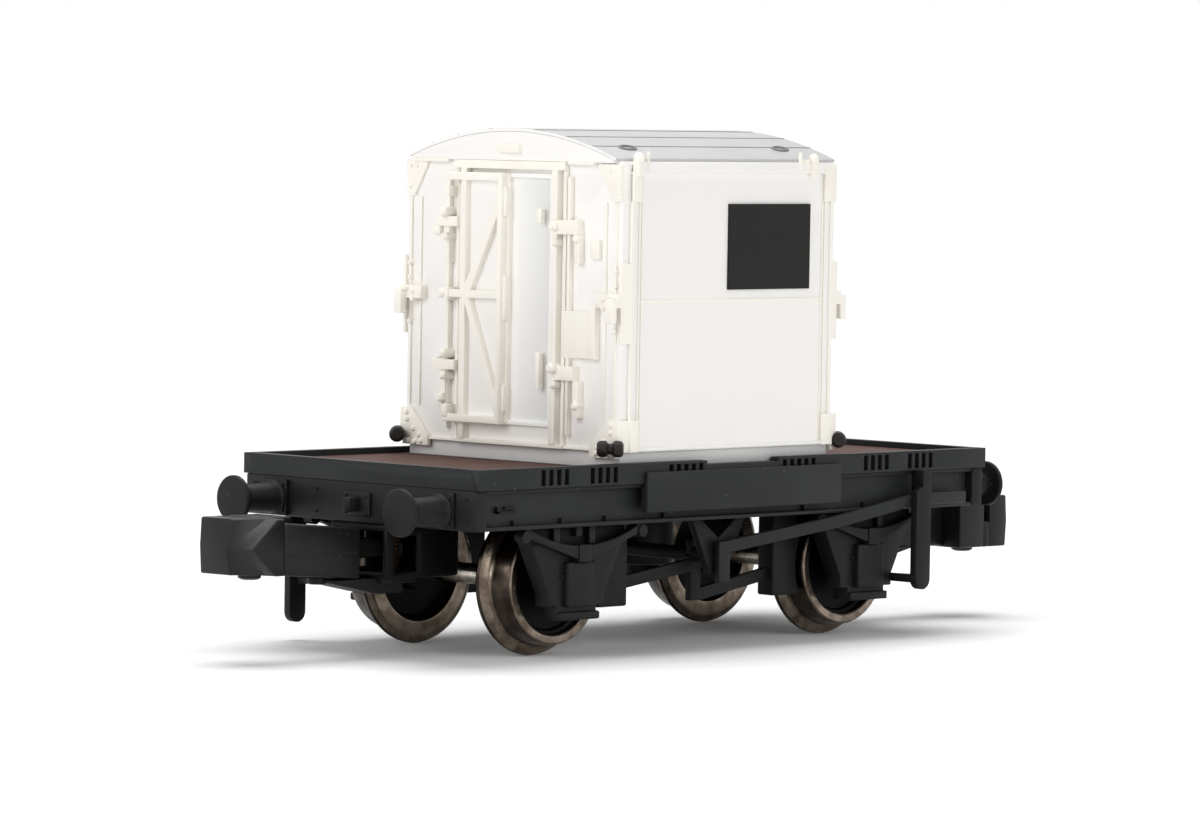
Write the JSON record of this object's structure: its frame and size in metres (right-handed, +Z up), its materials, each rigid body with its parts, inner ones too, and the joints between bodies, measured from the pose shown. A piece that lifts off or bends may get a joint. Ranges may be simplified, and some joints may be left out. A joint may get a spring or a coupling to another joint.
{
  "type": "scale model container flat wagon",
  "caption": "Model railway flat wagon with flanged wheels, buffers, lifting couplers and a white insulated container on its deck.",
  "frame": {"origin": "on the floor under the wheel flanges, under the middle of the wagon over its couplers", "axes": "+X along the wagon away from the container's doors, +Y across it to the left of +X, +Z up"},
  "size_m": [0.0526, 0.0178, 0.0255],
  "materials": {
    "steel_axle": "bright turned",
    "underframe_plastic": "matt dark grey",
    "weight_steel": "plain",
    "base_plastic": "matt pale grey",
    "container_plastic": "matt white",
    "roof_plastic": "matt pale grey",
    "coupler_plastic": "matt black",
    "deck_plastic": "matt brown",
    "panel_black": "printed black",
    "shackle_plastic": "matt black",
    "nickel_tyre": "turned, dull nickel",
    "black_plastic": "matt black"
  },
  "bodies": {
    "wagon": {"axleguard_front_far": "underframe_plastic", "axleguard_front_near": "underframe_plastic", "axleguard_rear_far": "underframe_plastic", "axleguard_rear_near": "underframe_plastic", "ballast_weight": "weight_steel", "brake_blocks_far": "underframe_plastic", "brake_blocks_near": "underframe_plastic", "brake_cylinder": "underframe_plastic", "brake_lever_far": "underframe_plastic", "brake_lever_near": "underframe_plastic", "brake_rods_far": "underframe_plastic", "brake_rods_near": "underframe_plastic", "brake_shaft": "underframe_plastic", "buffers_front": "underframe_plastic", "buffers_rear": "underframe_plastic", "container_base": "base_plastic", "container_door_left": "container_plastic", "container_door_right": "container_plastic", "container_end_front": "container_plastic", "container_end_rear": "container_plastic", "container_roof": "roof_plastic", "container_side_far": "container_plastic", "container_side_near": "container_plastic", "corner_irons": "container_plastic", "coupler_pocket_front": "coupler_plastic", "coupler_pocket_rear": "coupler_plastic", "deck_floor": "deck_plastic", "door_frame": "container_plastic", "drawhook_front": "underframe_plastic", "drawhook_rear": "underframe_plastic", "end_rail_front": "underframe_plastic", "end_rail_rear": "underframe_plastic", "headstock_front": "underframe_plastic", "headstock_rear": "underframe_plastic", "label_panel": "panel_black", "lever_guard_far": "underframe_plastic", "lever_guard_near": "underframe_plastic", "nameboard_far": "underframe_plastic", "nameboard_near": "underframe_plastic", "shackles": "shackle_plastic", "side_rail_far": "underframe_plastic", "side_rail_near": "underframe_plastic", "solebar_far": "underframe_plastic", "solebar_near": "underframe_plastic", "springs_far": "underframe_plastic", "springs_near": "underframe_plastic", "underframe": "underframe_plastic", "v_hanger_far": "underframe_plastic", "v_hanger_near": "underframe_plastic"},
    "front_wheelset": {"axle_front": "steel_axle", "tyres_front": "nickel_tyre", "wheel_centres_front": "black_plastic"},
    "rear_wheelset": {"axle_rear": "steel_axle", "tyres_rear": "nickel_tyre", "wheel_centres_rear": "black_plastic"},
    "front_coupler": {"coupler_front": "coupler_plastic"},
    "rear_coupler": {"coupler_rear": "coupler_plastic"}
  },
  "joints": [
    {"name": "front_wheelset_spin", "type": "hinge", "parent": "wagon", "child": "front_wheelset", "pos_m": [-0.0103, 0, 0.0037], "axis": [0, 1, 0], "continuous": true},
    {"name": "rear_wheelset_spin", "type": "hinge", "parent": "wagon", "child": "rear_wheelset", "pos_m": [0.0103, 0, 0.0037], "axis": [0, 1, 0], "continuous": true},
    {"name": "front_coupler_lift", "type": "hinge", "parent": "wagon", "child": "front_coupler", "pos_m": [-0.0166, 0, 0.00525], "axis": [0, 1, 0], "range_deg": [0, 8]},
    {"name": "rear_coupler_lift", "type": "hinge", "parent": "wagon", "child": "rear_coupler", "pos_m": [0.0166, 0, 0.00525], "axis": [0, -1, 0], "range_deg": [0, 8]}
  ]
}
